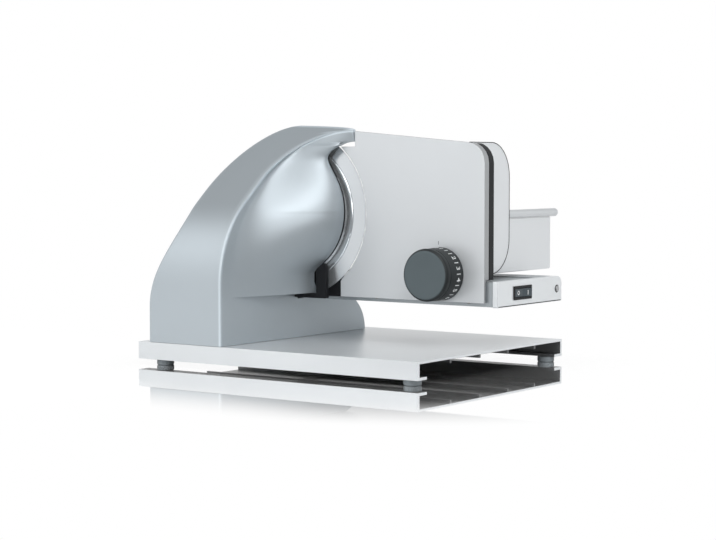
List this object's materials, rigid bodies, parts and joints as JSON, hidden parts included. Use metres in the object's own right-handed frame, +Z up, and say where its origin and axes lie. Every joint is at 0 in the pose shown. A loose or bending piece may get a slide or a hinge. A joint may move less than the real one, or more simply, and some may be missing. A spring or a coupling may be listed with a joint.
{
  "type": "food slicer",
  "caption": "Electric food slicer with a swept motor housing and domed gear case, a round blade, a sliding stop plate set by a dial, and a carriage that rides on a guide beam above a flat base.",
  "frame": {"origin": "on the floor, under the middle of the whole object's box at rest", "axes": "+Z up; X along the base, with the housing at -X and the switch at +X; -Y is the front, where slices fall, and the blade's axis is along Y"},
  "size_m": [0.3418, 0.3076, 0.239],
  "materials": {
    "silver_paint": "fine metallic silver paint",
    "anodised_aluminium": "satin anodised extrusion",
    "satin_aluminium": "satin sheet",
    "blade_steel": "ground steel",
    "machined_steel": "machined",
    "bearing_bronze": "plain sintered bronze",
    "anthracite_plastic": "fine matte grain",
    "black_plastic": "satin black",
    "grey_rubber": "matte",
    "zinc_plated_steel": "dull zinc",
    "gear_nylon": "natural nylon"
  },
  "bodies": {
    "body": {"base_profile": "anodised_aluminium", "foot_front_left": "grey_rubber", "foot_rear_left": "grey_rubber", "foot_front_right": "grey_rubber", "foot_rear_right": "grey_rubber", "motor_housing": "silver_paint", "housing_screw_1": "zinc_plated_steel", "housing_screw_2": "zinc_plated_steel", "housing_screw_3": "zinc_plated_steel", "housing_screw_4": "zinc_plated_steel", "beam_screw_1": "zinc_plated_steel", "beam_screw_2": "zinc_plated_steel", "cord_gland": "black_plastic", "blade_bearing_rear": "machined_steel", "blade_bearing_front": "machined_steel", "bearing_plate": "zinc_plated_steel", "motor_can": "machined_steel", "motor_bush_lower": "bearing_bronze", "motor_bush_upper": "bearing_bronze", "worm_bush": "bearing_bronze", "motor_bracket": "zinc_plated_steel", "motor_screw_1": "zinc_plated_steel", "motor_screw_2": "zinc_plated_steel", "slice_guard": "black_plastic", "lower_guard": "black_plastic", "guide_beam": "anodised_aluminium", "beam_plug": "anthracite_plastic", "beam_end_cap": "anodised_aluminium", "end_cap_screw": "machined_steel", "switch_frame": "black_plastic", "switch_body": "black_plastic", "rod_bush_left": "bearing_bronze", "rod_bush_right": "bearing_bronze", "dial_follower": "zinc_plated_steel"},
    "blade_unit": {"blade": "blade_steel", "blade_cover": "satin_aluminium", "blade_screw": "machined_steel", "blade_shaft": "machined_steel", "worm_wheel": "gear_nylon", "wheel_nut": "zinc_plated_steel"},
    "worm_unit": {"worm_shaft": "machined_steel", "rotor_stack": "machined_steel"},
    "plate_unit": {"stop_plate": "satin_aluminium", "plate_edge_strip": "black_plastic", "guide_rod_left": "machined_steel", "guide_rod_right": "machined_steel", "plate_carrier": "zinc_plated_steel", "dial_collar": "black_plastic"},
    "dial_unit": {"dial": "anthracite_plastic"},
    "carriage_unit": {"carriage_floor": "satin_aluminium", "carriage_wall": "satin_aluminium", "wall_rail": "anodised_aluminium", "thumb_guard": "satin_aluminium", "carriage_runner": "black_plastic", "glide_pad": "black_plastic"},
    "rocker_unit": {"rocker_button": "anthracite_plastic"}
  },
  "joints": [
    {"name": "blade_spin", "type": "hinge", "parent": "body", "child": "blade_unit", "pos_m": [-0.07042, -0.02125, 0.15], "axis": [0, 1, 0], "continuous": true},
    {"name": "worm_spin", "type": "hinge", "parent": "body", "child": "worm_unit", "pos_m": [-0.10902, -0.05775, 0.15], "axis": [0, 0, 1], "continuous": true},
    {"name": "plate_slide", "type": "slide", "parent": "body", "child": "plate_unit", "axis": [0, -1, 0], "range_m": [0, 0.02]},
    {"name": "dial_turn", "type": "hinge", "parent": "plate_unit", "child": "dial_unit", "pos_m": [0.10558, -0.03925, 0.0934], "axis": [0, -1, 0], "range_deg": [0, 300]},
    {"name": "carriage_slide", "type": "slide", "parent": "body", "child": "carriage_unit", "axis": [-1, 0, 0], "range_m": [0, 0.165]},
    {"name": "rocker_tilt", "type": "hinge", "parent": "body", "child": "rocker_unit", "pos_m": [0.16398, 0.02625, 0.075], "axis": [0, 0, 1], "range_deg": [0, 14]}
  ],
  "couplings": [
    {"joint": "worm_spin", "follows": "blade_spin", "ratio": -17},
    {"joint": "dial_turn", "follows": "plate_slide", "rad_per_m": 261.79}
  ]
}
